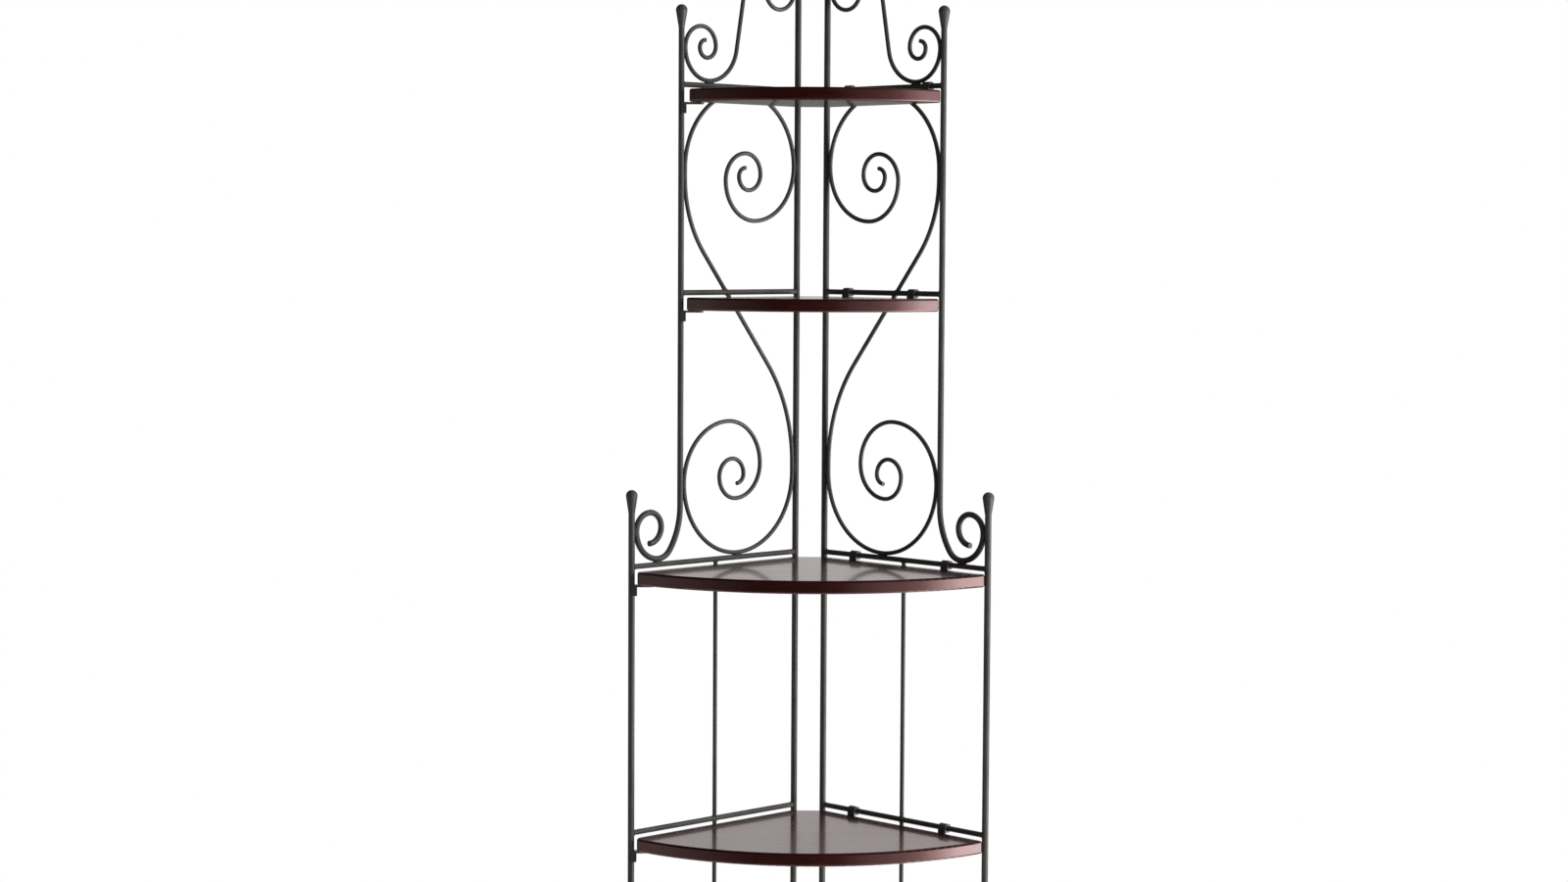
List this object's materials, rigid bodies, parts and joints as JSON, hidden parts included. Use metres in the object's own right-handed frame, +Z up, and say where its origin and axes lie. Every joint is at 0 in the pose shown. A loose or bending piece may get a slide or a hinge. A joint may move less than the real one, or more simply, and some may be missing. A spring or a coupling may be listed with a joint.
{
  "type": "corner bakers rack",
  "caption": "Free-standing corner rack: scrolled metal wings at a right angle carry quarter-round wooden shelves that hinge up on the rails of the right wing.",
  "frame": {"origin": "centre of the footprint's bounding box, on the floor", "axes": "+Z up, the open front faces -Y, the wings run back to the corner at +Y"},
  "size_m": [0.5332, 0.3534, 1.829],
  "materials": {
    "frame_paint": "satin gunmetal paint",
    "shelf_wood": "high-gloss dark cherry lacquer",
    "glide_plastic": "moulded black",
    "screw_steel": "blackened"
  },
  "bodies": {
    "frame": {"corner_link_1": "frame_paint", "corner_link_3": "frame_paint", "corner_link_5": "frame_paint", "left_crest_scroll": "frame_paint", "left_inner_finial": "frame_paint", "left_inner_glide": "glide_plastic", "left_inner_post": "frame_paint", "left_low_baluster": "frame_paint", "left_mid_baluster": "frame_paint", "left_outer_finial": "frame_paint", "left_outer_glide": "glide_plastic", "left_outer_post": "frame_paint", "left_rail_1": "frame_paint", "left_rail_2": "frame_paint", "left_rail_3": "frame_paint", "left_rail_4": "frame_paint", "left_rail_5": "frame_paint", "left_scroll_lower": "frame_paint", "left_scroll_upper": "frame_paint", "left_upper_finial": "frame_paint", "left_upper_post": "frame_paint", "right_crest_scroll": "frame_paint", "right_inner_finial": "frame_paint", "right_inner_glide": "glide_plastic", "right_inner_post": "frame_paint", "right_low_baluster": "frame_paint", "right_mid_baluster": "frame_paint", "right_outer_finial": "frame_paint", "right_outer_glide": "glide_plastic", "right_outer_post": "frame_paint", "right_rail_1": "frame_paint", "right_rail_2": "frame_paint", "right_rail_3": "frame_paint", "right_rail_4": "frame_paint", "right_rail_5": "frame_paint", "right_scroll_lower": "frame_paint", "right_scroll_upper": "frame_paint", "right_upper_finial": "frame_paint", "right_upper_post": "frame_paint", "shelf_bracket_1": "frame_paint", "shelf_bracket_2": "frame_paint", "shelf_bracket_3": "frame_paint", "shelf_bracket_4": "frame_paint", "shelf_bracket_5": "frame_paint"},
    "shelf_1_board": {"shelf_1": "shelf_wood", "shelf_1_clips": "frame_paint", "shelf_1_screws": "screw_steel"},
    "shelf_2_board": {"shelf_2": "shelf_wood", "shelf_2_clips": "frame_paint", "shelf_2_screws": "screw_steel"},
    "shelf_3_board": {"shelf_3": "shelf_wood", "shelf_3_clips": "frame_paint", "shelf_3_screws": "screw_steel"},
    "shelf_4_board": {"shelf_4": "shelf_wood", "shelf_4_clips": "frame_paint", "shelf_4_screws": "screw_steel"},
    "shelf_5_board": {"shelf_5": "shelf_wood", "shelf_5_clips": "frame_paint", "shelf_5_screws": "screw_steel"}
  },
  "joints": [
    {"name": "shelf_1_hinge", "type": "hinge", "parent": "frame", "child": "shelf_1_board", "pos_m": [0.02213, 0.16876, 0.0942], "axis": [-0.7071, 0.7071, 0], "range_deg": [0, 85]},
    {"name": "shelf_2_hinge", "type": "hinge", "parent": "frame", "child": "shelf_2_board", "pos_m": [0.02213, 0.16876, 0.4842], "axis": [-0.7071, 0.7071, 0], "range_deg": [0, 85]},
    {"name": "shelf_3_hinge", "type": "hinge", "parent": "frame", "child": "shelf_3_board", "pos_m": [0.02213, 0.16876, 0.8742], "axis": [-0.7071, 0.7071, 0], "range_deg": [0, 85]},
    {"name": "shelf_4_hinge", "type": "hinge", "parent": "frame", "child": "shelf_4_board", "pos_m": [0.02213, 0.16876, 1.2707], "axis": [-0.7071, 0.7071, 0], "range_deg": [0, 85]},
    {"name": "shelf_5_hinge", "type": "hinge", "parent": "frame", "child": "shelf_5_board", "pos_m": [0.02213, 0.16876, 1.5742], "axis": [-0.7071, 0.7071, 0], "range_deg": [0, 85]}
  ]
}
